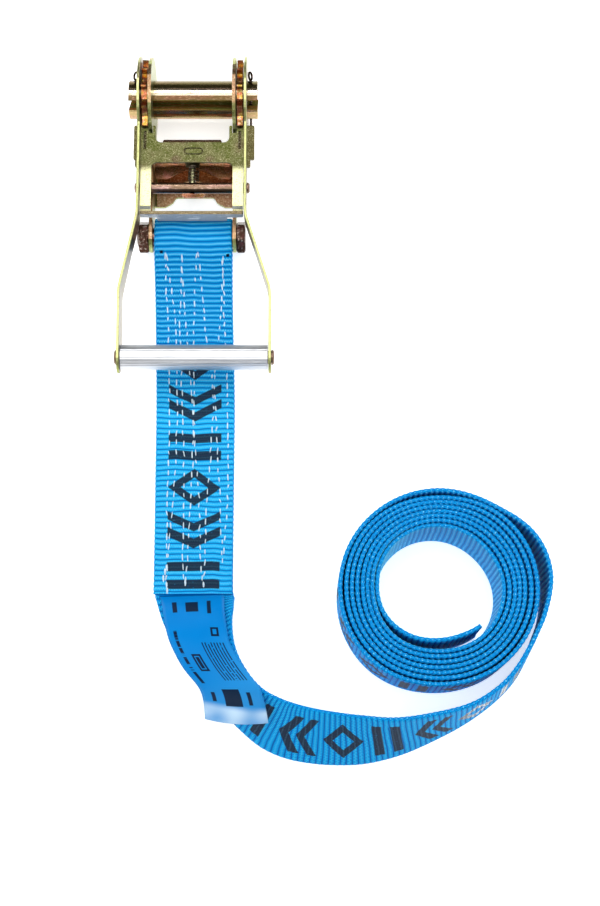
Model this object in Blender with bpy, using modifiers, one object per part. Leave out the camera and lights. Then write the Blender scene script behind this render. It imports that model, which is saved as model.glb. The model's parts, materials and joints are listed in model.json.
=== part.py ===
"""Ratchet tie down for 50 mm webbing, built as separate parts.

+X runs along the spindle, +Y points from the handle's grip to the spindle, and +Z is up.  The origin is
on the underside of the frame's base plate, in its middle: the plane that the whole object lies on.
The dimensions are millimetres, which MM turns into Blender's metres.  A "reach" is a distance from the
spindle's axis towards the grip (-Y), and a "rise" is a height above that axis.
"""

import math

import bmesh
import bpy
from mathutils import Matrix, Vector

MM = 0.001
GAP = 0.3                      # between touching pieces
EDGE_ROUNDING = 0.35           # of sheet metal edges
PLATE = 2.1                    # sheet thickness of the frame
HANDLE_PLATE = 1.6
PAWL_PLATE = 2.0
SLOT_HALF_HEIGHT = 1.3         # of the slots that both pawls slide in
SLOT_END = 0.9                 # by which a slot is longer than its pawl's stroke, at each end

# Spindle
SPINDLE_Y = 46.0
SPINDLE_Z = 27.5
SPINDLE_RADIUS = 12.1
SPINDLE_HALF_LENGTH = 41.0
SLOT_HALF_GAP = 2.9
SLOT_LEAN = 49.0               # degrees from the reach direction to the slot's plane
BORE_RADIUS = 12.4

# Frame
CHEEK_INNER = 25.4
CHEEK_DISC_RADIUS = 26.5
BOLT_REACH = 88.6
BOLT_RISE = -12.5
BOLT_RADIUS = 6.0
BOLT_HOLE_RADIUS = 6.3
BOLT_FLATS = 18.0
TAIL_RADIUS = 9.7
BASE_FRONT = 30.0
BASE_REAR = 63.0
BASE_WALL = 12.0               # height of the turned-up sides that join the cheeks
TAB_REACH = 55.2               # middle of the spring stop tab

# Ratchet wheels
WHEEL_INNER = 28.2
WHEEL_THICKNESS = 3.7
TEETH = 12
TOOTH_TIP_RADIUS = 25.3
TOOTH_ROOT_RADIUS = 20.8
FIRST_TOOTH_ANGLE = 23.6

# Lock pawl, in the frame
LOCK_RISE = -8.5
LOCK_TRAVEL = 6.0
LOCK_NECK_FRONT = 28.4
LOCK_EAR_REAR = 36.5
TOOTH_REACH = 21.6             # where both pawls' teeth end in the gullets

# Drive pawl, in the handle
DRIVE_RISE = 8.0
DRIVE_TRAVEL = 5.0
DRIVE_EAR_OUTER = 39.2
DRIVE_EAR_REAR = 49.6
WINDOW_FRONT = 46.5
BRIDGE_FRONT = 33.0
ARM_INNER = 25.6
ARM_OUTER = 32.3
FINGER_REACH = 80.1

# Handle
HANDLE_INNER = 32.75
HANDLE_DISC_RADIUS = 27.1
FLARE_START = 82.0
FLARE_END = 131.0
GRIP_INNER = 45.85             # half the distance between the arms at the grip
GRIP_SHIFT = 2.7               # of the grip towards +X, by which the arms are bent sideways
GRIP_REACH = 171.8
GRIP_END_RADIUS = 10.0
GRIP_ROD_RADIUS = 4.0
GRIP_SLEEVE_RADIUS = 7.8
GRIP_FLUTES = 20
BAR_REACH = 61.5
BAR_RISE = 3.2
BAR_RADIUS = 3.5

# Split pins
PIN_X = 36.4
PIN_WIRE = 0.72
PIN_EYE_TWIST = 25.0           # degrees

# Webbing and label
STRAP_WIDTH = 49.0
STRAP_THICKNESS = 2.8
SEWN_END_REACH = 312.8
ROLL_CENTRE = (148.8, -273.7)
ROLL_OUTER = 57.5
ROLL_INNER = 36.5
LABEL_THICKNESS = 0.8

# Free run of the strap, from the sewn part to the roll: (x, y) of its outer edge, how far the strap leans
# up from lying flat, and which way across it leads, both in degrees.
FREE_RUN = (
    (-24.3, -267.4, 0, 0), (-22.4, -274.5, 6, 3), (-18.3, -285.5, 14, 12), (-11.9, -297.0, 28, 22),
    (-3.8, -310.0, 41, 32), (6.1, -324.0, 52, 39), (16.8, -336.3, 58, 44), (29.0, -348.4, 60, 47),
    (42.3, -360.2, 55, 57), (55.5, -367.0, 53, 71), (70.0, -370.6, 53, 82), (88.0, -372.2, 55, 90),
    (108.0, -371.2, 59, 99), (130.0, -365.4, 66, 109), (153.8, -354.6, 72, 117),
    (172.5, -343.4, 76, 123), (187.5, -331.5, 79, 132), (198.5, -319.0, 82, 141),
    (206.2, -305.0, 86, 150), (211.4, -290.0, 89, 165), (214.9, -273.7, 90, 180),
    (214.2, -256.3, 90, 195), (204.6, -237.7, 90, 215), (193.3, -227.6, 90, 230),
    (180.8, -220.0, 90, 240), (164.7, -214.5, 90, 255), (150.0, -212.9, 90, 270),
)

# Label: left and right edge points (x, y, z), from the end of the sewn part to the label's free end.
LABEL_EDGES = (
    ((-18.6, -267.2, 3.7), (20.8, -267.2, 4.6)), ((-16.4, -273.5, 7.5), (22.4, -274.0, 15.5)),
    ((-14.8, -282.0, 14.0), (22.9, -282.3, 25.5)), ((-12.1, -294.0, 23.0), (25.0, -294.6, 37.0)),
    ((-8.7, -303.4, 26.5), (27.6, -305.2, 42.0)), ((-1.1, -316.8, 30.0), (35.2, -318.3, 45.5)),
    ((8.5, -329.1, 30.5), (44.3, -330.6, 47.0)), ((11.1, -338.3, 24.0), (48.1, -340.6, 37.5)),
    ((11.7, -345.8, 16.5), (49.6, -348.6, 27.0)),
)

STEEL = ((0.52, 0.48, 0.28), 0.32, 1.0)
DARK_STEEL = ((0.42, 0.33, 0.27), 0.35, 1.0)
ALUMINIUM = ((0.80, 0.81, 0.82), 0.30, 1.0)
BLUE_WEBBING = ((0.02, 0.33, 0.75), 0.80, 0.0)
BLUE_FILM = ((0.01, 0.28, 0.80), 0.25, 0.0)


# Scene and placing

def clear_scene():
    for thing in list(bpy.data.objects):
        bpy.data.objects.remove(thing, do_unlink=True)
    for group in list(bpy.data.collections):
        bpy.data.collections.remove(group)


def new_collection(name):
    group = bpy.data.collections.new(name)
    bpy.context.scene.collection.children.link(group)
    return group


def at(x, reach, rise):
    """A point given by its x, reach and rise."""
    return Vector((x, SPINDLE_Y - reach, SPINDLE_Z + rise)) * MM


def side_view(x):
    """Places an outline drawn in (reach, rise), with its thickness along X."""
    turn = Matrix(((0, 0, -1, 0), (-1, 0, 0, 0), (0, 1, 0, 0), (0, 0, 0, 1)))
    return Matrix.Translation(at(x, 0, 0)) @ turn


def top_view(rise):
    """Places an outline drawn in (x, reach), with its thickness along Z."""
    turn = Matrix(((1, 0, 0, 0), (0, -1, 0, 0), (0, 0, -1, 0), (0, 0, 0, 1)))
    return Matrix.Translation(at(0, 0, rise)) @ turn


def front_view(reach):
    """Places an outline drawn in (x, rise), with its thickness along Y."""
    turn = Matrix(((1, 0, 0, 0), (0, 0, -1, 0), (0, 1, 0, 0), (0, 0, 0, 1)))
    return Matrix.Translation(at(0, reach, 0)) @ turn


# Outlines

def arc(cx, cy, radius, start, end, step=9.0):
    """Points on an arc, with its angles in degrees."""
    count = max(1, round(abs(end - start) / step))
    angles = [math.radians(start + (end - start) * i / count) for i in range(count + 1)]
    return [(cx + radius * math.cos(a), cy + radius * math.sin(a)) for a in angles]


def circle(cx, cy, radius, step=15.0):
    return arc(cx, cy, radius, 0, 360, step)[:-1]


def rounded(corners, closed=True, step=18.0):
    """An outline through corners (x, y, radius), each rounded to its radius."""
    points = []
    last = len(corners) - 1
    for i, (x, y, radius) in enumerate(corners):
        if radius == 0 or (not closed and i in (0, last)):
            points.append((x, y))
            continue
        here = Vector((x, y))
        before = (Vector(corners[i - 1][:2]) - here).normalized()
        after = (Vector(corners[(i + 1) % len(corners)][:2]) - here).normalized()
        half = before.angle(after) / 2
        centre = here + (before + after).normalized() * (radius / math.sin(half))
        first = here + before * (radius / math.tan(half)) - centre
        turn = math.degrees(first.angle_signed(here + after * (radius / math.tan(half)) - centre))
        start = math.degrees(math.atan2(first.y, first.x))
        points += arc(centre.x, centre.y, radius, start, start - turn, step)
    return points


def stadium(low, high, half_width, across=0.0):
    """A slot along the first axis, with round ends."""
    ends = (low + half_width, high - half_width)
    return arc(ends[1], across, half_width, -90, 90, 30) + arc(ends[0], across, half_width, 90, 270, 30)


def mirrored(half):
    """Completes the outline of a symmetric plate from its half with positive x."""
    return half + [(-x, y) for x, y in reversed(half) if x > 0]


# Solids

def mesh_from_curve(name, curve, placing):
    holder = bpy.data.objects.new(name, curve)
    bpy.context.scene.collection.objects.link(holder)
    bpy.context.view_layer.update()
    evaluated = holder.evaluated_get(bpy.context.evaluated_depsgraph_get())
    mesh = bpy.data.meshes.new_from_object(evaluated)
    bpy.data.objects.remove(holder, do_unlink=True)
    bpy.data.curves.remove(curve)
    shape = bmesh.new()
    shape.from_mesh(mesh)
    bmesh.ops.remove_doubles(shape, verts=shape.verts, dist=0.001 * MM)
    bmesh.ops.recalc_face_normals(shape, faces=shape.faces)
    shape.to_mesh(mesh)
    shape.free()
    return new_object(name, mesh, placing)


def new_object(name, mesh, placing=Matrix()):
    mesh.name = name
    thing = bpy.data.objects.new(name, mesh)
    thing.matrix_world = placing
    parts.objects.link(thing)
    return thing


def plate(name, outlines, thickness, placing):
    """A flat piece: the first outline is its edge, and the others are its holes."""
    curve = bpy.data.curves.new(name, "CURVE")
    curve.dimensions = "2D"
    curve.fill_mode = "BOTH"
    curve.extrude = thickness / 2 * MM
    for outline in outlines:
        spline = curve.splines.new("POLY")
        spline.points.add(len(outline) - 1)
        spline.use_cyclic_u = True
        for point, (x, y) in zip(spline.points, outline):
            point.co = (x * MM, y * MM, 0, 1)
    return mesh_from_curve(name, curve, placing)


def sheet(name, outlines, thickness, placing, rounding=0.2):
    """A plate with its edges rounded."""
    piece = plate(name, outlines, thickness, placing)
    round_edges(piece, rounding)
    return piece


def wire(name, points, radius, placing=Matrix()):
    """A round wire through points in millimetres."""
    curve = bpy.data.curves.new(name, "CURVE")
    curve.dimensions = "3D"
    curve.bevel_depth = radius * MM
    curve.bevel_resolution = 2
    curve.use_fill_caps = True
    spline = curve.splines.new("POLY")
    spline.points.add(len(points) - 1)
    for point, place in zip(spline.points, points):
        point.co = (*(Vector(place) * MM), 1)
    return mesh_from_curve(name, curve, placing)


def turned(name, profile, placing, steps=32):
    """A piece turned about local Z: profile (radius, z) runs from its top to its bottom."""
    mesh = bpy.data.meshes.new(name)
    shape = bmesh.new()
    verts = [shape.verts.new((radius * MM, 0, z * MM)) for radius, z in profile]
    for first, second in zip(verts, verts[1:]):
        shape.edges.new((first, second))
    if profile[0][0] > 0:
        shape.edges.new((verts[-1], verts[0]))
    shape.to_mesh(mesh)
    shape.free()
    thing = new_object(name, mesh, placing)
    screw = thing.modifiers.new("turn", "SCREW")
    screw.steps = steps
    screw.render_steps = steps
    screw.use_merge_vertices = True
    screw.merge_threshold = 0.00001
    return thing


def along_x(x, reach, rise):
    """Places a turned piece's local Z along +X."""
    return Matrix.Translation(at(x, reach, rise)) @ Matrix.Rotation(math.radians(90), 4, "Y")


def cylinder(name, radius, length, placing, steps=24):
    half = length / 2
    return turned(name, [(0, half), (radius, half), (radius, -half), (0, -half)], placing, steps)


def combine(target, tool, operation):
    """Adds a Boolean of target with tool, and puts the tool away with the cutters."""
    parts.objects.unlink(tool)
    cutters.objects.link(tool)
    tool.name = target.name + "_tool"
    tool.hide_render = True
    tool.display_type = "WIRE"
    boolean = target.modifiers.new(operation.lower(), "BOOLEAN")
    boolean.operation = operation
    boolean.object = tool
    boolean.solver = "EXACT"


def round_edges(thing, width=EDGE_ROUNDING, angle=50.0):
    bevel = thing.modifiers.new("edges", "BEVEL")
    bevel.width = width * MM
    bevel.segments = 1
    bevel.limit_method = "ANGLE"
    bevel.angle_limit = math.radians(angle)


def give(thing, look, parent):
    """Sets a part's material and its parent, and shades it smooth between sharp edges."""
    colour, roughness, metallic = look
    material = bpy.data.materials.new(thing.name)
    material.use_nodes = True
    shader = material.node_tree.nodes["Principled BSDF"]
    shader.inputs["Base Color"].default_value = (*colour, 1)
    shader.inputs["Roughness"].default_value = roughness
    shader.inputs["Metallic"].default_value = metallic
    thing.data.materials.clear()
    thing.data.materials.append(material)
    thing.data.shade_smooth()
    thing.data.set_sharp_from_angle(angle=math.radians(35))
    placing = thing.matrix_world.copy()
    thing.parent = parent
    thing.matrix_parent_inverse = parent.matrix_world.inverted()
    thing.matrix_world = placing
    return thing


def hexagon(name, flats, thickness, x, holes=()):
    """A hexagon about the tail bolt's axis, with its corners chamfered on both faces."""
    corner = flats / 2 / math.cos(math.radians(30))
    outline = arc(BOLT_REACH, BOLT_RISE, corner, 0, 360, 60)[:-1]
    body = plate(name, [outline, *holes], thickness, side_view(x))
    half = thickness / 2 + 0.02
    chamfer = 0.8
    face = flats / 2 - 0.1
    profile = [(0, half), (face, half), (corner + 0.1, half - chamfer),
               (corner + 0.1, chamfer - half), (face, -half), (0, -half)]
    combine(body, turned(name, profile, along_x(x, BOLT_REACH, BOLT_RISE), 24), "INTERSECT")
    return body


# Frame

def cheek_outline():
    disc = arc(0, 0, CHEEK_DISC_RADIUS, 12.0, 302.0, 10)
    lower = rounded([
        (14.0, -22.5, 0), (40.0, -22.6, 6), (78.0, -22.4, 12), (84.0, -21.1, 0)], closed=False)
    tail = arc(BOLT_REACH, BOLT_RISE, TAIL_RADIUS, 242, 448, 12)
    upper = rounded([(88.9, -2.8, 0), (56.0, -2.2, 14), (34.0, 4.6, 10), (26.2, 5.2, 0)], closed=False)
    return disc + lower + tail + upper


def make_frame():
    lock_slot = stadium(LOCK_NECK_FRONT - SLOT_END, LOCK_EAR_REAR + LOCK_TRAVEL + SLOT_END,
                        SLOT_HALF_HEIGHT, LOCK_RISE)
    holes = [circle(0, 0, BORE_RADIUS, 12), circle(BOLT_REACH, BOLT_RISE, BOLT_HOLE_RADIUS), lock_slot]
    middle = CHEEK_INNER + PLATE / 2
    outer = CHEEK_INNER + PLATE
    floor = -SPINDLE_Z
    frame = plate("frame", [cheek_outline()] + holes, PLATE, side_view(middle))
    combine(frame, plate("cheek", [cheek_outline()] + holes, PLATE, side_view(-middle)), "UNION")
    channel = rounded([
        (-outer, floor + BASE_WALL, 0), (-outer, floor, 3.6), (outer, floor, 3.6),
        (outer, floor + BASE_WALL, 0), (CHEEK_INNER, floor + BASE_WALL, 0),
        (CHEEK_INNER, floor + PLATE, 1.5), (-CHEEK_INNER, floor + PLATE, 1.5),
        (-CHEEK_INNER, floor + BASE_WALL, 0)])
    base_middle = (BASE_FRONT + BASE_REAR) / 2
    tray = plate("tray", [channel], BASE_REAR - BASE_FRONT, front_view(base_middle))
    combine(frame, tray, "UNION")
    tab_outline = rounded([(-6, floor + 1, 0), (6, floor + 1, 0), (6, -4, 2), (-6, -4, 2)])
    stem_hole = rounded([(-2.9, LOCK_RISE - 1.35, 0.4), (2.9, LOCK_RISE - 1.35, 0.4),
                         (2.9, LOCK_RISE + 1.35, 0.4), (-2.9, LOCK_RISE + 1.35, 0.4)])
    combine(frame, plate("tab", [tab_outline, stem_hole], PLATE, front_view(TAB_REACH)), "UNION")
    notch = mirrored(rounded([
        (0, 56.4, 0), (13, 56.4, 2), (13, 59.5, 5), (22.5, 64.6, 0), (22.5, 70, 0), (0, 70, 0)],
        closed=False))
    combine(frame, plate("notch", [notch], 8, top_view(floor)), "DIFFERENCE")
    front = mirrored(rounded([(0, 34.5, 0), (15, 34.5, 4), (19, 25, 0), (0, 25, 0)], closed=False))
    combine(frame, plate("front", [front], 8, top_view(floor)), "DIFFERENCE")
    round_edges(frame)
    give(frame, STEEL, frame_axis)


def make_lock_pawl():
    front = 26.0
    lane = WHEEL_INNER + WHEEL_THICKNESS
    half = rounded([
        (0, front, 0), (24.9, front, 1), (24.9, LOCK_NECK_FRONT, 0), (28.3, LOCK_NECK_FRONT, 0),
        (28.3, TOOTH_REACH, 0.5), (lane, TOOTH_REACH, 0.5), (lane, LOCK_EAR_REAR, 1),
        (24.9, LOCK_EAR_REAR, 0), (24.9, 50.3, 2),
        (17, 50.3, 1), (5.6, 44.6, 1), (2.4, 44.6, 0), (2.4, 60.7, 0), (8.3, 60.7, 0.6),
        (6.0, 63.3, 0.6), (0, 63.3, 0)], closed=False)
    pawl = plate("lock_pawl", [mirrored(half)], PAWL_PLATE, top_view(LOCK_RISE))
    round_edges(pawl, 0.25)
    give(pawl, DARK_STEEL, frame_axis)


def coil(name, radius, wire_radius, turns, low, high, rise, parent):
    """A compression spring along the reach direction, with a closed turn at each end."""
    per_turn = 10
    pitch_turns = turns - 2
    points = []
    for i in range(turns * per_turn + 1):
        turn = i / per_turn
        open_part = min(max(turn - 1, 0), pitch_turns) / pitch_turns
        closed_part = min(turn, 1) + max(turn - 1 - pitch_turns, 0)
        closed_pitch = wire_radius * 2 + 0.12
        run = high - low - 2 * wire_radius - 2 * closed_pitch
        along = low + wire_radius + closed_part * closed_pitch + open_part * run
        angle = 2 * math.pi * turn
        points.append((radius * math.cos(angle), SPINDLE_Y - along,
                       SPINDLE_Z + rise + radius * math.sin(angle)))
    give(wire(name, points, wire_radius), DARK_STEEL, parent)


def make_tail_bolt():
    head = 5.6
    shank_end = -35.2
    inner = CHEEK_INNER + PLATE + GAP
    bolt = hexagon("tail_bolt", BOLT_FLATS, head, inner + head / 2)
    chamfer = 0.9
    shank = turned("shank", [
        (0, inner + 1), (BOLT_RADIUS, inner + 1), (BOLT_RADIUS, shank_end + chamfer),
        (BOLT_RADIUS - chamfer, shank_end), (0, shank_end)], along_x(0, BOLT_REACH, BOLT_RISE), 24)
    combine(bolt, shank, "UNION")
    give(bolt, DARK_STEEL, frame_axis)
    height = 6.4
    bore = circle(BOLT_REACH, BOLT_RISE, BOLT_HOLE_RADIUS)
    nut = hexagon("tail_nut", BOLT_FLATS, height, -(inner + height / 2), [bore])
    give(nut, DARK_STEEL, frame_axis)


# Handle

def handle_side_outline():
    disc = arc(0, 0, HANDLE_DISC_RADIUS, 36, 332, 10)
    lower = rounded([(24.2, -12.2, 0), (42, -8, 20), (73, -1.4, 15), (106, -1.4, 20), (136, -7.6, 30),
                     (160, -9.9, 0)], closed=False)
    end = arc(GRIP_REACH, 0, GRIP_END_RADIUS, -84, 84, 12)
    upper = rounded([(160, 11.0, 0), (132, 13.4, 30), (82, 14.6, 30), (42, 14.6, 20), (22, 15.9, 0)],
                    closed=False)
    return disc + lower + end + upper


def make_handle_plate(name, side):
    ear_slot = stadium(TOOTH_REACH - SLOT_END, DRIVE_EAR_REAR + DRIVE_TRAVEL + SLOT_END,
                       SLOT_HALF_HEIGHT, DRIVE_RISE)
    holes = [circle(0, 0, BORE_RADIUS, 12), circle(BAR_REACH, BAR_RISE, 2.9),
             circle(GRIP_REACH, 0, GRIP_ROD_RADIUS + GAP), ear_slot]
    blank = plate(name, [handle_side_outline()] + holes, 24, side_view(side * 40))
    end = GRIP_INNER + side * GRIP_SHIFT
    inner = [(HANDLE_INNER, -32, 0), (HANDLE_INNER, FLARE_START, 22), (end, FLARE_END, 22), (end, 186, 0)]
    outer = [(x + HANDLE_PLATE, reach, 22 if radius else 0) for x, reach, radius in reversed(inner)]
    strip = [(side * x, reach) for x, reach in
             rounded(inner, closed=False, step=6) + rounded(outer, closed=False, step=6)]
    combine(blank, plate(name, [strip], 60, top_view(0)), "INTERSECT")
    round_edges(blank)
    give(blank, STEEL, handle_axis)


def riveted_rod(name, radius, shoulder, neck, head, end, place, bore=None):
    """A rod between the handle plates whose thinner necks are riveted over outside them."""
    dome = 0.8
    half = [(0, end), (head - dome, end), (head, end - dome), (head, end - 1.6), (neck, end - 1.6),
            (neck, shoulder), (radius, shoulder)]
    profile = half + [(r, -z) for r, z in reversed(half)]
    rod = turned(name, profile, along_x(*place), 24)
    if bore:
        combine(rod, bore, "DIFFERENCE")
    give(rod, DARK_STEEL, handle_axis)


def make_handle_rods():
    spring_hole = cylinder("spring_hole", 1.6, 12,
                           Matrix.Translation(at(0, BAR_REACH, BAR_RISE))
                           @ Matrix.Rotation(math.radians(90), 4, "X"), 16)
    bar_end = HANDLE_INNER + HANDLE_PLATE + GAP + 1.6
    riveted_rod("handle_crossbar", BAR_RADIUS, HANDLE_INNER - GAP, 2.6, 3.4, bar_end,
                (0, BAR_REACH, BAR_RISE), spring_hole)
    rod_end = GRIP_INNER + HANDLE_PLATE + GAP + 1.6
    riveted_rod("grip_rod", GRIP_ROD_RADIUS + 0.01, GRIP_INNER - GAP, GRIP_ROD_RADIUS, 4.8, rod_end,
                (GRIP_SHIFT, GRIP_REACH, 0))
    groove = 0.14
    outline = []
    for i in range(GRIP_FLUTES * 4):
        angle = 2 * math.pi * i / (GRIP_FLUTES * 4)
        radius = GRIP_SLEEVE_RADIUS - (groove if i % 4 == 0 else 0)
        outline.append((GRIP_REACH + radius * math.cos(angle), radius * math.sin(angle)))
    bore = circle(GRIP_REACH, 0, GRIP_ROD_RADIUS + 0.6, 15)
    sleeve = plate("grip_sleeve", [outline, bore], 2 * (GRIP_INNER - 0.5), side_view(GRIP_SHIFT))
    give(sleeve, ALUMINIUM, grip_axis)


def make_drive_pawl():
    lane = WHEEL_INNER + WHEEL_THICKNESS
    slit = (25.1, 27.85)       # passes either side of the frame's cheek
    slit_rear = CHEEK_DISC_RADIUS + 0.2

    def half(ear, step):
        return rounded([
            (0, BRIDGE_FRONT, 0), (23.2, BRIDGE_FRONT, 3.4), (23.2, TOOTH_REACH, 1), (slit[0], TOOTH_REACH, 0.4),
            (slit[0], slit_rear, 0.3), (slit[1], slit_rear, 0.3), (slit[1], TOOTH_REACH, 0.4),
            (ear, TOOTH_REACH, 1.2), (ear, 44.5, 0.8), (step, 44.5, 0),
            (step, DRIVE_EAR_REAR, 1), (ARM_OUTER, DRIVE_EAR_REAR, 0), (ARM_OUTER, 75, 0),
            (ARM_INNER, 75, 0), (ARM_INNER, WINDOW_FRONT, 3.6), (0, WINDOW_FRONT, 0)], closed=False)

    # The left ear is shorter than the right one
    outline = half(DRIVE_EAR_OUTER, 36.8) + [(-x, y) for x, y in reversed(half(37.0, 36.0)) if x > 0]
    pawl = sheet("drive_pawl", [outline], PAWL_PLATE, top_view(DRIVE_RISE))
    top = DRIVE_RISE + PAWL_PLATE / 2
    low = DRIVE_RISE - PAWL_PLATE / 2
    # A lip along the front edge, bent up, with its ends cut at a slant
    lip = plate("lip", [[(34, low + 0.3), (32.8, low + 0.3), (31.0, 8.3), (31.7, 9.9), (33.2, top - 0.1),
                         (34, top - 0.1)]], 40, side_view(0))
    ends = [(-18.6, 35), (18.6, 35), (18.6, 32.6), (16.8, 30), (-16.8, 30), (-18.6, 32.6)]
    combine(lip, plate("ends", [ends], 20, top_view(10)), "INTERSECT")
    combine(pawl, lip, "UNION")
    inset = 0.06
    arm = rounded([(72, top - inset, 0), (75.6, top - inset, 1), (77.3, 6.7, 1), (FINGER_REACH, 6.7, 0),
                   (FINGER_REACH, 4.7, 0), (76.2, 4.7, 1), (74.4, low + inset, 1), (72, low + inset, 0)])
    arm_width = ARM_OUTER - ARM_INNER - 4 * inset
    for side in (-1, 1):
        strip = plate("arm", [arm], arm_width, side_view(side * (ARM_INNER + ARM_OUTER) / 2))
        combine(pawl, strip, "UNION")
    finger = rounded([(-ARM_OUTER, 8.7, 0.6), (ARM_OUTER, 8.7, 0.6), (ARM_OUTER, 3.2, 1.2),
                      (22, 2.8, 0), (22, -3.0, 1.2), (-22, -3.0, 1.2), (-22, 2.8, 0),
                      (-ARM_OUTER, 3.2, 1.2)])
    combine(pawl, sheet("finger", [finger], 2.2, front_view(FINGER_REACH)), "UNION")
    seat = rounded([(-4.5, top - 1, 0), (4.5, top - 1, 0), (4.5, -0.6, 2), (-4.5, -0.6, 2)])
    combine(pawl, sheet("seat", [seat], PAWL_PLATE, front_view(WINDOW_FRONT - 1.3)), "UNION")
    turn = Matrix.Rotation(math.radians(90), 4, "X")
    stem = cylinder("stem", 1.2, 16, Matrix.Translation(at(0, WINDOW_FRONT + 6.7, BAR_RISE)) @ turn, 16)
    combine(pawl, stem, "UNION")
    for side in (-1, 1):
        groove = [(side * 29.9 + y, x) for x, y in stadium(25.2, 37.5, 0.9)]
        combine(pawl, plate("groove", [groove], 1.6, top_view(top)), "DIFFERENCE")
    # A pressed oval ring on the bridge
    ring = [[(x, 39.0 + y) for x, y in stadium(-5.4 + inset, 7.0 - inset, 2.4 - inset)] for inset in (0, 0.9)]
    combine(pawl, plate("ring", ring, 1.2, top_view(top)), "DIFFERENCE")
    give(pawl, STEEL, handle_axis)


# Spindle

def make_spindle_half(name, middle):
    """One half-moon shaft: middle is the angle of its crown."""
    half_angle = math.degrees(math.acos(SLOT_HALF_GAP / SPINDLE_RADIUS))
    outline = arc(0, 0, SPINDLE_RADIUS, middle - half_angle, middle + half_angle, 8)
    shaft = plate(name, [outline], 2 * SPINDLE_HALF_LENGTH, side_view(0))
    round_edges(shaft, 0.4, 60)
    for side in (-1, 1):
        towards = Matrix.Rotation(math.radians(SLOT_LEAN), 4, "X").inverted()
        hole = cylinder("hole", 1.95, 40, Matrix.Translation(at(side * PIN_X, 0, 0)) @ towards, 16)
        combine(shaft, hole, "DIFFERENCE")
    give(shaft, DARK_STEEL, spindle_axis)


def make_wheel(name, side):
    """A ratchet wheel whose bore has a key web in the spindle's slot."""
    outline = []
    for tooth in range(TEETH):
        face = FIRST_TOOTH_ANGLE + tooth * 360 / TEETH
        outline += arc(0, 0, TOOTH_TIP_RADIUS, face + 0.5, face + 3.3, 3)
        outline += arc(0, 0, TOOTH_ROOT_RADIUS + 1.2, face + 9.0, face + 9.0)[:1]
        outline += arc(0, 0, TOOTH_ROOT_RADIUS, face + 13.0, face + 360 / TEETH, 6)
    key = SLOT_HALF_GAP - GAP
    edge = math.degrees(math.asin(key / BORE_RADIUS))
    bores = [arc(0, 0, BORE_RADIUS, SLOT_LEAN + start + edge, SLOT_LEAN + start + 180 - edge, 10)
             for start in (0, 180)]
    x = side * (WHEEL_INNER + WHEEL_THICKNESS / 2)
    wheel = plate(name, [outline] + bores, WHEEL_THICKNESS, side_view(x))
    round_edges(wheel, 0.25, 60)
    give(wheel, DARK_STEEL, spindle_axis)


def make_split_pin(name, side):
    """A split pin across the slot: two legs side by side, and an eye on the upper half's side."""
    offset = PIN_WIRE + 0.15
    eye_radius = 2.5
    eye_centre = SPINDLE_RADIUS + 3.4
    leg_end = -SPINDLE_RADIUS - 4.0
    spread = 1.7
    left = [(-offset - spread, leg_end), (-offset, -SPINDLE_RADIUS - 1.2), (-offset, 0),
            (-offset, SPINDLE_RADIUS - 0.2)]
    eye = arc(0, eye_centre, eye_radius, 250, -70, 32)
    right = [(-across, along) for across, along in reversed(left)]
    lean = math.radians(SLOT_LEAN)
    points = []
    for across, along in left + eye + right:
        twist = math.radians(PIN_EYE_TWIST if along > SPINDLE_RADIUS else 0)
        x = side * (PIN_X + across * math.sin(twist))
        across *= math.cos(twist)
        reach = across * math.cos(lean) - along * math.sin(lean)
        rise = across * math.sin(lean) + along * math.cos(lean)
        points.append(tuple(at(x, reach, rise) / MM))
    give(wire(name, points, PIN_WIRE), DARK_STEEL, spindle_axis)


# Webbing and label

def smooth(stations, per_span):
    """Points on a Catmull-Rom curve through stations of equal length."""
    rows = [stations[0]] + list(stations) + [stations[-1]]
    result = []
    for i in range(1, len(rows) - 2):
        for j in range(per_span):
            t = j / per_span
            weights = ((-t + 2 * t ** 2 - t ** 3) / 2, (2 - 5 * t ** 2 + 3 * t ** 3) / 2,
                       (t + 4 * t ** 2 - 3 * t ** 3) / 2, (t ** 3 - t ** 2) / 2)
            span = rows[i - 1:i + 3]
            result.append(tuple(sum(w * row[k] for w, row in zip(weights, span))
                                for k in range(len(span[0]))))
    result.append(tuple(stations[-1]))
    return result


def ribbon(name, edges, thickness):
    """A strip between two edges, given as pairs of points in millimetres."""
    shape = bmesh.new()
    rows = [[shape.verts.new(Vector(point) * MM) for point in pair] for pair in edges]
    for (a, b), (c, d) in zip(rows, rows[1:]):
        shape.faces.new((a, c, d, b))
    mesh = bpy.data.meshes.new(name)
    shape.to_mesh(mesh)
    shape.free()
    strip = new_object(name, mesh)
    solidify = strip.modifiers.new("thickness", "SOLIDIFY")
    solidify.thickness = thickness * MM
    solidify.offset = 0
    solidify.use_even_offset = True
    return strip


def free_run_edges():
    edges = []
    for x, y, lean, bearing in smooth(FREE_RUN, 3):
        tilt = math.radians(lean)
        turn = math.radians(bearing)
        across = Vector((math.cos(turn) * math.cos(tilt), math.sin(turn) * math.cos(tilt), math.sin(tilt)))
        low = Vector((x, y, STRAP_THICKNESS / 2 * math.cos(tilt) + 0.05))
        edges.append((low, low + STRAP_WIDTH * across))
    return edges


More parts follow.
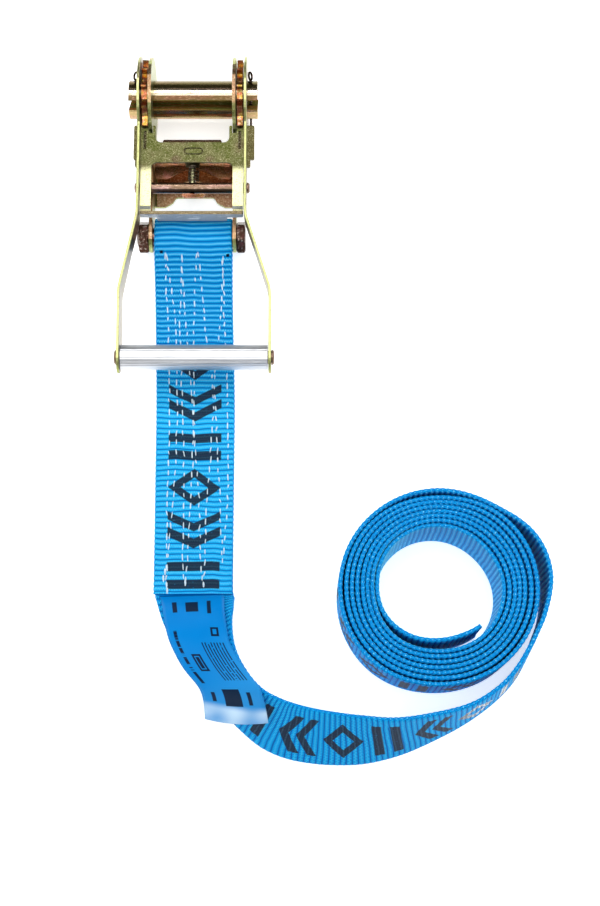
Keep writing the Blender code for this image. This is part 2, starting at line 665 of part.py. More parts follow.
def make_webbing():
    layers = 2 * STRAP_THICKNESS
    floor = -SPINDLE_Z + 0.05
    top = floor + layers
    loop = BOLT_HOLE_RADIUS + STRAP_THICKNESS
    strip = rounded([
        (BOLT_REACH, BOLT_RISE + 3, 0), (BOLT_REACH + 6, BOLT_RISE + 4.8, 6), (124, top, 40),
        (SEWN_END_REACH, top, 0), (SEWN_END_REACH, floor, 0), (119, floor, 30),
        (BOLT_REACH + 6, BOLT_RISE - 6.5, 6), (BOLT_REACH, BOLT_RISE - 3, 0)], step=6)
    sewn = plate("strap_sewn_loop", [strip], STRAP_WIDTH, side_view(0))
    ring = circle(BOLT_REACH, BOLT_RISE, loop, 10)
    combine(sewn, plate("ring", [ring], STRAP_WIDTH, side_view(0)), "UNION")
    bore = circle(BOLT_REACH, BOLT_RISE, BOLT_HOLE_RADIUS, 12)
    combine(sewn, plate("bore", [bore], STRAP_WIDTH + 4, side_view(0)), "DIFFERENCE")
    give(sewn, BLUE_WEBBING, frame_axis)
    give(ribbon("strap_free_run", free_run_edges(), STRAP_THICKNESS), BLUE_WEBBING, frame_axis)
    half = STRAP_WIDTH / 2
    profile = [(ROLL_INNER, half), (ROLL_OUTER, half), (ROLL_OUTER, -half), (ROLL_INNER, -half)]
    centre = Matrix.Translation(Vector((*ROLL_CENTRE, half + 0.05)) * MM)
    give(turned("strap_roll", profile, centre, 56), BLUE_WEBBING, frame_axis)
    stations = [left + right for left, right in LABEL_EDGES]
    edges = [(row[:3], row[3:]) for row in smooth(stations, 3)]
    give(ribbon("label", edges, LABEL_THICKNESS), BLUE_FILM, frame_axis)


def axis_empty(name, place):
    empty = bpy.data.objects.new(name, None)
    empty.location = place
    empty.empty_display_size = 10 * MM
    parts.objects.link(empty)
    bpy.context.view_layer.update()
    return empty


clear_scene()
parts = new_collection("ratchet_tie_down")
cutters = new_collection("cutters")
frame_axis = axis_empty("frame_origin", Vector((0, 0, 0)))
handle_axis = axis_empty("handle_pivot", at(0, 0, 0))
spindle_axis = axis_empty("spindle_pivot", at(0, 0, 0))
grip_axis = axis_empty("grip_pivot", at(0, GRIP_REACH, 0))

make_frame()
make_lock_pawl()
coil("lock_pawl_spring", 3.35, 0.42, 6, 45.1, TAB_REACH - PLATE / 2 - GAP, LOCK_RISE, frame_axis)
make_tail_bolt()
make_handle_plate("handle_plate_left", -1)
make_handle_plate("handle_plate_right", 1)
make_handle_rods()
make_drive_pawl()
coil("drive_pawl_spring", 2.15, 0.36, 6, WINDOW_FRONT + 0.15, BAR_REACH - BAR_RADIUS - GAP, BAR_RISE,
     handle_axis)
make_spindle_half("spindle_half_upper", SLOT_LEAN + 90)
make_spindle_half("spindle_half_lower", SLOT_LEAN - 90)
make_wheel("ratchet_wheel_left", -1)
make_wheel("ratchet_wheel_right", 1)
make_split_pin("split_pin_left", -1)
make_split_pin("split_pin_right", 1)
make_webbing()
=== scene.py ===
"""Ratchet tie down: looks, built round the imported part.

Lengths are millimetres until MM turns them into metres. X runs along the spindle, and +Y from the
grip to the spindle.
"""

import json
import math

import bmesh
import bpy
import numpy as np
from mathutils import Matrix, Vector


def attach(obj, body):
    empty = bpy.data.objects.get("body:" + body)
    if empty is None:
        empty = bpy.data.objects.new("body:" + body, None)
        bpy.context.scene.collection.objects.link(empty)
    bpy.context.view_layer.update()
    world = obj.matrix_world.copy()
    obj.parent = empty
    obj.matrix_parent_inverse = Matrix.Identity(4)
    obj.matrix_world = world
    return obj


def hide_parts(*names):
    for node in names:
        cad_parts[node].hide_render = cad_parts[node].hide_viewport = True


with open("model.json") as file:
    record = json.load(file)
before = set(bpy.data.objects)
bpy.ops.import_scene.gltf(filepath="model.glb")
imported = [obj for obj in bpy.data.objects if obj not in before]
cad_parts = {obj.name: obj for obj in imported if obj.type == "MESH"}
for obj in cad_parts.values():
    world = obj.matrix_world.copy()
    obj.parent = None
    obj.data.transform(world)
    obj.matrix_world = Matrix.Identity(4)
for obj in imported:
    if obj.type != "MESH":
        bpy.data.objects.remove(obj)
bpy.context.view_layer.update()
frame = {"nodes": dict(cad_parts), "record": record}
nodes = frame["nodes"]
MM = 0.001


# Arithmetic on shader sockets

class Term:
    """A socket of a material's node tree, with the usual operators."""

    def __init__(self, net, socket):
        self.net, self.socket = net, socket

    def __add__(self, other):
        return self.net.math("ADD", self, other)

    def __sub__(self, other):
        return self.net.math("SUBTRACT", self, other)

    def __rsub__(self, other):
        return self.net.math("SUBTRACT", other, self)

    def __mul__(self, other):
        return self.net.math("MULTIPLY", self, other)

    def __truediv__(self, other):
        return self.net.math("DIVIDE", self, other)

    __radd__, __rmul__ = __add__, __mul__


class Net:
    """A material with one Principled shader."""

    def __init__(self, name, **constants):
        self.material = bpy.data.materials.new(name)
        self.material.use_nodes = True
        self.tree = self.material.node_tree
        self.shader = next(n for n in self.tree.nodes if n.type == "BSDF_PRINCIPLED")
        for key, value in constants.items():
            self.shader.inputs[key.replace("_", " ")].default_value = value

    def node(self, kind, inputs=(), **settings):
        made = self.tree.nodes.new(kind)
        for key, value in settings.items():
            setattr(made, key, value)
        for key, value in dict(inputs).items():
            if isinstance(value, Term):
                self.tree.links.new(value.socket, made.inputs[key])
            else:
                made.inputs[key].default_value = value
        return made

    def math(self, operation, *values):
        made = self.node("ShaderNodeMath", enumerate(values), operation=operation)
        return Term(self, made.outputs[0])

    def step(self, value, low, high, out_low=0.0, out_high=1.0):
        """Smoothly from out_low at low to out_high at high."""
        made = self.node("ShaderNodeMapRange", {"Value": value, "From Min": low, "From Max": high,
                                                "To Min": out_low, "To Max": out_high},
                         interpolation_type="SMOOTHSTEP")
        return Term(self, made.outputs[0])

    def within(self, value, half, soft=0.3):
        """1 where value is between -half and half."""
        return self.step(self.math("ABSOLUTE", value), half + soft, half - soft)

    def noise(self, vector, scale, detail=2.0, roughness=0.5):
        made = self.node("ShaderNodeTexNoise", {"Vector": vector, "Scale": scale, "Detail": detail,
                                                "Roughness": roughness})
        return Term(self, made.outputs[0])

    def mix(self, factor, a, b):
        made = self.node("ShaderNodeMix", {0: factor, 6: a, 7: b}, data_type="RGBA")
        return Term(self, made.outputs[2])

    def coordinates(self, kind):
        """x, y, z of the UV map or of the object, in millimetres, and the vector itself."""
        source = Term(self, self.node("ShaderNodeTexCoord").outputs[kind])
        scaled = self.node("ShaderNodeVectorMath", {0: source, 3: 1 / MM}, operation="SCALE")
        vector = Term(self, scaled.outputs[0])
        parts = self.node("ShaderNodeSeparateXYZ", {0: vector})
        return [Term(self, s) for s in parts.outputs] + [vector]

    def vector(self, x, y, z=0.0):
        return Term(self, self.node("ShaderNodeCombineXYZ", {0: x, 1: y, 2: z}).outputs[0])

    def bump(self, height, depth, strength=1.0):
        """height, from 0 to 1, as a relief that is depth millimetres deep."""
        made = self.node("ShaderNodeBump", {"Strength": strength, "Distance": depth * MM, "Height": height})
        self.tree.links.new(made.outputs[0], self.shader.inputs["Normal"])

    def set(self, **values):
        for key, value in values.items():
            self.tree.links.new(value.socket, self.shader.inputs[key.replace("_", " ")])


def rgb(red, green, blue):
    """A colour given as it looks on a screen, 0 to 255, as linear values."""
    return tuple((c / 255 / 12.92 if c <= 10 else ((c / 255 + 0.055) / 1.055) ** 2.4)
                 for c in (red, green, blue)) + (1.0,)


# Webbing: one strip, from the cut end of its sewn part, round the bolt, along the floor and into the roll

WIDTH = 49.0
HALF_THICKNESS = 1.3
ROLL_HALF_THICKNESS = 1.23
RIB_PITCH = 3.3
SAMPLES_PER_RIB = 4
FLOOR = 0.05
LOWER_LAYER = FLOOR + 1.4
UPPER_LAYER = FLOOR + 4.2
SEWN_END_Y = -269.8
LOOP_X = 0.3
SEWN_DRIFT = 2.5               # x at the sewn part's end, which lies a little to the right

# (y, height) of the strip's middle plane, seen from the side, from its cut end round the bolt to the floor
LOOP = (
    (SEWN_END_Y, UPPER_LAYER), (-200.0, UPPER_LAYER), (-140.0, UPPER_LAYER), (-105.0, UPPER_LAYER),
    (-88.0, 4.7), (-76.0, 7.4), (-65.0, 12.6), (-56.0, 18.0), (-49.0, 21.5), (-42.6, 22.7),
    (-36.2, 21.4), (-31.8, 16.4), (-32.8, 10.6), (-38.5, 7.2), (-51.0, 6.2), (-62.0, 4.2),
    (-74.0, 2.2), (-88.0, LOWER_LAYER), (-140.0, LOWER_LAYER), (-200.0, LOWER_LAYER),
)

# Free run: (x, y) of the outer edge, how far the strip leans up, and which way it faces, in degrees
FREE_RUN = (
    (-24.3, -267.4, 0, 0), (-23.6, -270.8, 1, 0), (-22.4, -274.5, 8, 3), (-18.3, -285.5, 20, 12),
    (-11.9, -297.0, 30, 22), (-3.8, -310.0, 41, 32), (6.1, -324.0, 52, 39), (16.8, -336.3, 58, 44),
    (29.0, -348.4, 60, 47),
    (42.3, -360.2, 55, 57), (55.5, -367.0, 53, 71), (70.0, -370.6, 53, 82), (88.0, -372.2, 55, 90),
    (108.0, -371.2, 59, 99), (130.0, -365.4, 68, 109), (153.8, -354.6, 77, 117),
    (171.5, -344.4, 83, 123), (187.0, -332.5, 85, 132), (198.3, -320.0, 85, 141),
    (206.2, -305.0, 86, 150),
)

# Roll: radius of the strip's middle at an angle of its winding, for the loose turn and for the inner end;
# between them the radius at each compass angle falls by its own step from turn to turn
ROLL_CENTRE = (148.8, -273.7)
LOOSE_TURN = ((-15, 66.0), (0, 66.8), (12, 67.6), (22, 67.6), (32, 66.4), (42, 64.0), (52, 61.6),
              (66, 60.4), (90, 59.8), (122, 58.6), (150, 57.9), (180, 57.2), (225, 56.6), (270, 54.9))
INNER_END = ((2680, 35.9), (2700, 35.5), (2723, 34.5), (2750, 32.1), (2780, 29.7), (2800, 29.1),
             (2820, 29.8), (2842, 32.5))
TURN_RADIUS = (61.9, 62.6, 58.9, 59.5, 58.7, 58.5, 57.2, 59.4)     # at 0, 45, ... 315 degrees, before any turn
TURN_STEP = (3.32, 3.43, 2.8, 2.93, 3.08, 3.1, 3.17, 3.2)
LOOSE_END = 270                # where the loose turn meets the wound ones
QUARTER_RADIUS = (             # at every quarter turn from there
    54.8, 58.5, 55.4, 53.6, 51.3, 54.8, 52.7, 50.4, 48.2, 51.0, 50.0, 47.2, 45.2,
    48.0, 47.2, 44.0, 42.0, 45.2, 44.5, 41.2, 38.8, 42.0, 41.7, 38.4, 35.7)
ROLL_END = INNER_END[-1][0]


def between(a, b, c, d, t):
    """A Catmull-Rom curve's value at the share t of the way from b to c."""
    return (a * (-t + 2 * t ** 2 - t ** 3) + b * (2 - 5 * t ** 2 + 3 * t ** 3)
            + c * (t + 4 * t ** 2 - 3 * t ** 3) + d * (t ** 3 - t ** 2)) / 2


def catmull(rows, per_span):
    """A smooth curve through the rows, with that many points for each span."""
    rows = np.array([rows[0], *rows, rows[-1]], float)
    result = []
    for corners in zip(rows, rows[1:], rows[2:], rows[3:]):
        result += [between(*corners, t) for t in np.arange(per_span) / per_span]
    return np.array(result + [rows[-1]])


def ease(value, low, high):
    """Smoothly from 0 at low to 1 at high."""
    t = np.clip((value - low) / (high - low), 0, 1)
    return t * t * (3 - 2 * t)


def around(table, angle):
    """A smooth periodic value from a table of eight compass angles."""
    place = (angle % 360) / 45
    i = int(place)
    return between(*(table[(i + k) % 8] for k in (-1, 0, 1, 2)), place - i)


def even_radius(angle):
    """The radius of evenly wound turns."""
    return around(TURN_RADIUS, angle) - around(TURN_STEP, angle) * angle / 360


quarters = LOOSE_END + 90 * np.arange(len(QUARTER_RADIUS))
unevenness = np.array([r - even_radius(a) for r, a in zip(QUARTER_RADIUS, quarters)])


def roll_radius(angle, loose, inner):
    """The radius of the strip's middle, with smooth curves given for the loose turn and the inner end."""
    wound = even_radius(angle) + np.interp(angle, quarters, unevenness, 0, 0)
    if angle < LOOSE_END:
        share = ease(angle, 180, LOOSE_END)
        return np.interp(angle, *loose) * (1 - share) + wound * share
    if angle > INNER_END[0][0]:
        share = ease(angle, INNER_END[0][0], INNER_END[1][0])
        return wound * (1 - share) + np.interp(angle, *inner) * share
    return wound


def strip_path():
    """Middle points, width directions and half thicknesses along the strip, evenly spaced."""
    points, widths, halves = [], [], []
    for y, height in catmull(LOOP, 14):
        points.append((LOOP_X + (SEWN_DRIFT - LOOP_X) * ease(-y, 60, 165), y, height))
        widths.append((1, 0, 0))
        halves.append(HALF_THICKNESS)
    lows = []
    for x, y, lean, bearing in catmull(FREE_RUN, 10):
        lows.append((x + SEWN_DRIFT * (1 - ease(-y, 268, 318)), y, math.radians(lean), math.radians(bearing)))
    loose, inner = (catmull(rows, 12).T for rows in (LOOSE_TURN, INNER_END))
    for angle in np.arange(LOOSE_TURN[0][0], ROLL_END + 0.1, 1.5):
        radius = roll_radius(angle, loose, inner)
        turn = math.radians(angle)
        lean = math.radians(90 - 3 * ease(-angle, -10, 15))
        lows.append((ROLL_CENTRE[0] + radius * math.cos(turn), ROLL_CENTRE[1] + radius * math.sin(turn),
                     lean, turn + math.pi))
    for i, (x, y, lean, bearing) in enumerate(lows):
        across = np.array((math.cos(bearing) * math.cos(lean), math.sin(bearing) * math.cos(lean),
                           math.sin(lean)))
        wobble = 0.25 * (1 + math.sin(i * 0.05)) * math.sin(lean) ** 8
        low = np.array((x, y, 1.4 * math.cos(lean) + FLOOR + wobble))
        points.append(low + across * WIDTH / 2)
        widths.append(across)
        halves.append(HALF_THICKNESS if i < 200 else ROLL_HALF_THICKNESS)
    points, widths, halves = (np.array(a, float) for a in (points, widths, halves))
    along = np.concatenate([[0], np.cumsum(np.linalg.norm(np.diff(points, axis=0), axis=1))])
    step = RIB_PITCH / SAMPLES_PER_RIB
    count = int(along[-1] / step) // SAMPLES_PER_RIB * SAMPLES_PER_RIB + 1     # whole ribs
    at = np.arange(count) * step
    points, widths = (np.stack([np.interp(at, along, a[:, k]) for k in range(3)], axis=1)
                      for a in (points, widths))
    kernel = np.ones(5) / 5
    padded = np.pad(points, ((2, 2), (0, 0)), mode="reflect", reflect_type="odd")
    smooth = np.stack([np.convolve(padded[:, k], kernel, "valid") for k in range(3)], axis=1)
    tangents = np.gradient(smooth, axis=0)
    tangents /= np.linalg.norm(tangents, axis=1)[:, None]
    widths /= np.linalg.norm(widths, axis=1)[:, None]
    normals = np.cross(tangents, widths)
    normals /= np.linalg.norm(normals, axis=1)[:, None]
    return at, smooth, tangents, widths, normals, np.interp(at, along, halves)


def low_fill():
    """Half thicknesses of the strip's lowest part, outward and inward.

    The roll's turns bulge against each other there, under the roll's weight.
    """
    loose, inner = (catmull(rows, 12).T for rows in (LOOSE_TURN, INNER_END))
    winding = np.unwrap(np.arctan2(path[:, 1] - ROLL_CENTRE[1], path[:, 0] - ROLL_CENTRE[0]))
    winding = np.degrees(winding - winding[-1]) + ROLL_END
    radius = np.hypot(path[:, 0] - ROLL_CENTRE[0], path[:, 1] - ROLL_CENTRE[1])
    outward, inward = halves.copy(), halves.copy()
    thickest, wound_from, roll_side = 1.9, 420, 85
    for i in range(len(path)):
        if path[i, 0] < roll_side:
            continue
        if winding[i] > wound_from:
            gap = roll_radius(winding[i] - 360, loose, inner) - radius[i]
            outward[i] = np.clip(gap / 2, halves[i], thickest)
        if 150 <= winding[i] < ROLL_END - wound_from:
            gap = radius[i] - roll_radius(winding[i] + 360, loose, inner)
            inward[i] = np.clip(gap / 2, halves[i], thickest)
    return outward, inward


at, path, tangents, widths, normals, halves = strip_path()
low_outward, low_inward = low_fill()
STRAP_LENGTH = float(at[-1])
LOOP_TURN = int(np.argmax(path[:, 1]))           # where the strip turns back round the bolt


def grid_mesh(name, rows, uvs, closed, caps):
    """A mesh from rows of points, with a uv for each point; closed joins each row's ends."""
    mesh = bpy.data.meshes.new(name)
    shape = bmesh.new()
    verts = [[shape.verts.new(Vector(p) * MM) for p in row] for row in rows]
    layer = shape.loops.layers.uv.new("cloth")
    n = len(rows[0])
    for i in range(len(rows) - 1):
        for j in range(n if closed else n - 1):
            k = (j + 1) % n
            face = shape.faces.new((verts[i][j], verts[i + 1][j], verts[i + 1][k], verts[i][k]))
            face.smooth = True
            end = k if k else n              # the closing column goes on past the last uv
            for loop, (r, c) in zip(face.loops, ((i, j), (i + 1, j), (i + 1, end), (i, end))):
                loop[layer].uv = Vector(uvs(r, c)) * MM
    if caps:
        for row, r in ((verts[0], 0), (verts[-1], len(rows) - 1)):
            face = shape.faces.new(row if r == 0 else row[::-1])
            for loop in face.loops:
                loop[layer].uv = Vector(uvs(r, 0)) * MM
    bmesh.ops.recalc_face_normals(shape, faces=shape.faces)
    shape.to_mesh(mesh)
    shape.free()
    made = bpy.data.objects.new(name, mesh)
    bpy.context.scene.collection.objects.link(made)
    return made


# Across the strip: (place across, place through the thickness from -1 to 1, share of the rib's height)
FACE = [(-23.4, 1), (-20.5, 1), (-12.0, 1), (0.0, 1), (12.0, 1), (20.5, 1), (23.4, 1)]
EDGE = [(24.0, 0.62), (24.25, 0.0), (24.0, -0.62)]
SECTION = FACE + EDGE + [(-v, -w) for v, w in FACE] + [(-v, -w) for v, w in EDGE]
EDGE_LENGTH = 2.8
PERIMETER = 2 * (WIDTH + EDGE_LENGTH)
RIB_HEIGHTS = (0.09, -0.03, -0.2, -0.03)         # at the samples of one rib


def around_section():
    """How far round the section each of its points is, from the left end of the face at the top."""
    result = []
    for v, w in SECTION:
        if abs(w) == 1:
            result.append(v + WIDTH / 2 if w > 0 else WIDTH + EDGE_LENGTH + WIDTH / 2 - v)
        elif v > 0:
            result.append(WIDTH + (1 - w) / 2 * EDGE_LENGTH)
        else:
            result.append(2 * WIDTH + EDGE_LENGTH + (1 + w) / 2 * EDGE_LENGTH)
    return result + [result[0] + PERIMETER]


def make_strap():
    """The strip with its ribs, swept along its path."""
    rows = []
    for i, (p, t, w, n, half) in enumerate(zip(path, tangents, widths, normals, halves)):
        rib = RIB_HEIGHTS[i % SAMPLES_PER_RIB]
        u = at[i]
        sewn = 1.0 if i < LOOP_TURN else 0.35              # how far the stitches pull the ribs about
        braid = 1.2 if i < 2 * LOOP_TURN else 0.5          # how far the ribs stand out at the strip's edges
        spread = 1 + 0.016 * (1 - ease(-p[1], 150, 262)) if i < 2 * LOOP_TURN else 1
        row = []
        for v, through in SECTION:
            ripple = sewn * (0.35 * math.sin(v / 6.1 + u / 23) + 0.25 * math.sin(v / 3.3 - u / 11.7))
            slant = 0.15 * through if abs(through) < 1 else 0
            side = math.copysign(1, v) * (braid * rib if abs(v) > 23 else 0)
            depth = through * (half + rib) if abs(through) == 1 else through * half
            if v < -20 and abs(through) == 1:
                depth = max(low_outward[i], half + rib) if through > 0 else -max(low_inward[i], half + rib)
            row.append(p + w * (v * spread + side) + n * depth + t * (ripple * (abs(v) < 24) + slant))
        rows.append(row)
    rounds = around_section()
    return grid_mesh("strap", rows, lambda r, c: (at[r], rounds[c]), True, True)


def webbing_material():
    """Ribbed blue webbing: u runs along the strip, round_it round its section."""
    net = Net("blue_webbing", Specular_IOR_Level=0.06)
    u, round_it, _, vector = net.coordinates("UV")
    folded = net.math("MODULO", round_it, WIDTH + EDGE_LENGTH)
    v = folded - WIDTH / 2
    second_face = net.step(round_it, WIDTH + 1, WIDTH + 2)
    on_edge = net.step(folded, WIDTH - 0.5, WIDTH + 0.2)
    large = net.noise(vector, 0.045, 3)
    fine = net.noise(vector, 0.9, 2)
    turn = 2 * math.pi / RIB_PITCH
    wander = (large - 0.5) * 2.2 + (net.noise(net.vector(u * 0.3, v), 0.12) - 0.5) * 1.6
    crest = net.math("COSINE", u * turn + wander) * 0.5 + 0.5
    second = net.math("COSINE", u * (turn / 2)) * 0.5 + 0.5
    # Yarns along the strip, in step with every second rib
    side_step = net.math("FLOOR", u / (RIB_PITCH / 2)) * math.pi
    yarn = net.math("COSINE", v * (2 * math.pi / 1.5) + side_step) * 0.5 + 0.5
    weave = yarn * 0.45 + fine * 0.55
    # Painted light: from the stitches' start on, the sewn face is paler and its rib highlights softer; towards
    # the bolt it stays darker, as in shade
    lit_sewn_stretch = net.step(u, length_near(-120, False), length_near(-150, False)) * second_face
    # Painted shade in the rib valleys and painted highlights along the rib crests
    valley_shade = net.step(crest, 0.26, 0.0)
    crest_highlight = net.step(crest + (weave - 0.5) * 1.1, 0.74, 1.12) * (1 - lit_sewn_stretch * 0.45)
    base = net.mix(net.step(weave, 0.3, 0.7), rgb(0, 112, 196), rgb(0, 172, 232))
    base = net.mix(lit_sewn_stretch * 0.7, base, rgb(30, 176, 234))
    base = net.mix(crest_highlight * 0.9, base, net.mix(second_face, rgb(48, 190, 236), rgb(112, 222, 250)))
    base = net.mix(valley_shade * (0.55 + 0.45 * second), base, rgb(0, 66, 152))
    # Painted light: paler round the roll's hole, most on the left, where its inner wall catches the light
    hole_wall_light = net.step(u, STRAP_LENGTH - 400, STRAP_LENGTH - 330) * second_face
    left_half = net.step(net.coordinates("Object")[0], 142, 112)
    base = net.mix(hole_wall_light * (0.1 + 0.5 * left_half), base, rgb(120, 226, 246))
    # Edges: a fine braid, with painted highlights on its loops and painted shade in a few dark gaps
    flecks = net.noise(net.vector(u, folded * 1.6), 1.1, 2, 0.6)
    strands = net.noise(net.vector(u * 0.8 + folded * 0.9, folded * 1.8), 1.3, 2, 0.7)
    edge = net.mix(net.step(strands, 0.38, 0.62), rgb(0, 104, 192), rgb(4, 164, 232))
    edge = net.mix(net.step(flecks, 0.44, 0.35) * 0.9, edge, rgb(0, 52, 130))
    edge = net.mix(net.step(strands, 0.58, 0.7) * 0.7, edge, rgb(40, 190, 242))
    loops = crest * net.within(folded - (WIDTH + EDGE_LENGTH / 2), 0.7, 0.5) * net.step(flecks, 0.46, 0.6)
    edge = net.mix(net.step(loops, 0.55, 0.9) * 0.85, edge, rgb(140, 230, 252))
    colour = net.mix(on_edge, base, edge)
    # Two dark marks on the face of the loop
    for y, across in ((-53.7, 19.6), (-55.7, -21.6)):
        gap_along = net.math("ABSOLUTE", u - length_near(y, False))
        gap = net.math("MAXIMUM", gap_along, net.math("ABSOLUTE", v - across))
        colour = net.mix(net.step(gap, 1.2, 0.7) * second_face, colour, rgb(10, 14, 26))
    # Printed pattern: bars, chevrons and lozenges in turn
    cell = 27.0
    number = net.math("FLOOR", u / cell)
    x = u - number * cell
    kind = net.math("MODULO", number, 3.0)
    tall = net.math("ABSOLUTE", v)
    bars = net.math("MAXIMUM", net.within(x - 6, 2.9), net.within(x - 17, 2.9))
    chevron = net.math("MAXIMUM", net.within(x - tall * 0.5 - 4, 3.0), net.within(x - tall * 0.5 - 14, 2.6))
    ring = tall / 16.2 + net.math("ABSOLUTE", x - 12.5) / 12
    lozenge = net.within(ring - 0.76, 0.24, 0.02)
    first, third = net.within(kind, 0.5, 0.1), net.within(kind - 2.0, 0.5, 0.1)
    drawn = bars * first + lozenge * third + chevron * (1 - first - third)
    limit = net.step(tall, 16.4, 16.0)
    # The outer face of the sewn part carries it, and the other face from there on
    reversed_part = net.within(u - PRINT_SEWN[0], PRINT_SEWN[1]) * second_face
    forward_part = net.within(u - PRINT_RUN[0], PRINT_RUN[1]) * (1 - second_face)
    wear_and_glint = net.step(fine, 0.22, 0.34)
    printed = drawn * limit * (reversed_part + forward_part) * wear_and_glint * (1 - on_edge)
    # Painted highlight: the ink is paler on the rib crests
    ink = net.mix(crest_highlight * 0.6 + valley_shade * 0.2, rgb(18, 26, 40), rgb(62, 84, 108))
    # Painted highlight: where the light catches the run, its print shines
    print_glint = net.within(u - PRINT_GLINT[0], PRINT_GLINT[1], 12) * (1 - second_face)
    ink = net.mix(print_glint * net.step(flecks + crest_highlight * 0.2, 0.42, 0.6), ink, rgb(226, 234, 238))
    colour = net.mix(printed * 0.96, colour, ink)
    height = crest * 0.5 + weave * 0.5
    net.bump(height * (1 - on_edge) + strands * on_edge, 0.3, 0.6)
    net.set(Base_Color=colour, Roughness=0.55 + 0.2 * fine - printed * 0.12)
    return net.material


def length_near(y, after):
    """How far along the strip the point at that y is, before or after its turn round the bolt."""
    part = slice(LOOP_TURN, LOOP_TURN * 2) if after else slice(0, LOOP_TURN)
    return float(at[part][np.argmin(abs(path[part, 1] - y))])


# Middle and half length of the stretches that are printed, and of the one whose print shines
PRINT_SEWN = (length_near(-118, False) / 2, length_near(-118, False) / 2)
run_start = length_near(-262, True)
PRINT_RUN = (run_start + 475, 400)
print_glint_start = float(at[LOOP_TURN + np.argmax(path[LOOP_TURN:, 0] > 158)])
PRINT_GLINT = (print_glint_start + 26, 20)
strap = make_strap()
strap.data.materials.append(webbing_material())

# Stitching: eight wandering lines of thread in four pairs, each given as (x, y)

STITCH_LINES = (
    ((-17.1, -52), (-16.9, -74), (-15.4, -102), (-13.6, -165), (-14.1, -207), (-13.9, -242), (-13.8, -266)),
    ((-17.1, -52), (-13.9, -74), (-10.9, -102), (-8.8, -156), (-10.3, -209), (-13.1, -242), (-13.6, -266)),
    ((-6.9, -52), (-7.5, -74), (-8.2, -102), (-5.5, -158), (-3.8, -206), (-4.0, -242), (-2.6, -264)),
    ((-6.9, -52), (-5.8, -74), (-3.9, -102), (0.9, -158), (0.4, -209), (-1.1, -242), (-2.2, -264)),
    ((3.2, -52), (1.2, -74), (0.7, -102), (1.8, -161), (5.1, -207), (6.7, -242), (8.6, -265)),
    ((3.2, -52), (5.7, -74), (8.2, -102), (13.4, -150), (10.4, -209), (9.7, -242), (8.9, -265)),
    ((19.1, -56), (18.7, -74), (16.9, -102), (14.5, -134), (15.7, -163), (18.5, -212), (20.1, -252)),
    ((19.1, -56), (19.6, -74), (20.3, -102), (22.1, -137), (22.7, -158), (23.2, -207), (20.4, -252)),
)
STITCH_PITCH = 6.6
STITCH_LENGTH = 3.4
THREAD_RADIUS = 0.36


def on_sewn_face(x, y, above):
    """A point at x, y on the outer face of the sewn part."""
    i = np.argmin(abs(path[:LOOP_TURN, 1] - y))
    return path[i] + widths[i] * (x - path[i, 0]) - normals[i] * (HALF_THICKNESS + above)


def thread(shape, points, radius):
    """A thread through those points, thin at its ends, where it dives into the cloth."""
    rings = []
    for i, point in enumerate(points):
        before, after = points[max(i - 1, 0)], points[min(i + 1, len(points) - 1)]
        heading = (Vector(after) - Vector(before)).normalized()
        side = heading.cross(Vector((0, 0, 1))).normalized()
        over = side.cross(heading)
        thin = radius * (0.45 if i in (0, len(points) - 1) else 1)
        rings.append([shape.verts.new((Vector(point) + (side * math.cos(a) + over * math.sin(a)) * thin) * MM)
                      for a in (math.radians(60 * k) for k in range(6))])
    for a, b in zip(rings, rings[1:]):
        for k in range(6):
            shape.faces.new((a[k], b[k], b[(k + 1) % 6], a[(k + 1) % 6])).smooth = True
    shape.faces.new(rings[0][::-1])
    shape.faces.new(rings[-1])


def make_stitching():
    """Every stitch as a short thread that dives into the cloth at both ends."""
    chance = np.random.default_rng(7)
    shape = bmesh.new()
    for line in STITCH_LINES:
        curve = catmull(line, 20)
        y = line[0][1] - chance.uniform(0, 3)
        while y > line[-1][1] + 3:
            length = STITCH_LENGTH + chance.uniform(-1.1, 1.2)
            ends = np.interp([-y, length - y], -curve[:, 1], curve[:, 0]) + chance.normal(0, 0.3, 2)
            points = []
            for share, above in ((0, -0.25), (0.25, 0.28), (0.5, 0.36), (0.75, 0.28), (1, -0.25)):
                points.append(on_sewn_face(ends[0] + (ends[1] - ends[0]) * share, y - length * share, above))
            thread(shape, points, THREAD_RADIUS * chance.uniform(0.8, 1.15))
            y -= STITCH_PITCH + chance.normal(0, 0.35)
    # Lock stitches where the lines meet at the sewn end
    for x, y in ((-13.8, -262), (-13.4, -265.5), (-2.4, -261), (8.8, -262), (-15.8, -258), (-14.9, -254)):
        points = [on_sewn_face(x + lean, y - dy, above)
                  for lean, dy, above in ((0, 0, -0.2), (0.2, 1.2, 0.4), (0.3, 2.6, 0.4), (0.2, 4, -0.2))]
        thread(shape, points, 0.6)
    mesh = bpy.data.meshes.new("stitching")
    shape.to_mesh(mesh)
    shape.free()
    made = bpy.data.objects.new("stitching", mesh)
    bpy.context.scene.collection.objects.link(made)
    net = Net("white_thread", Roughness=0.7, Specular_IOR_Level=0.3, Sheen_Weight=0.2)
    _, y, _, vector = net.coordinates("Object")
    twist = net.math("COSINE", y * 9) * 0.5 + 0.5
    shade = net.noise(vector, 0.8) * 0.5 + twist * 0.3
    net.set(Base_Color=net.mix(shade, rgb(236, 244, 248), rgb(176, 216, 236)))
    net.bump(twist, 0.1)
    mesh.materials.append(net.material)
    return made


stitching = make_stitching()

# Label: a glossy film that hangs from the sewn end, lies on the run and curls at its free end

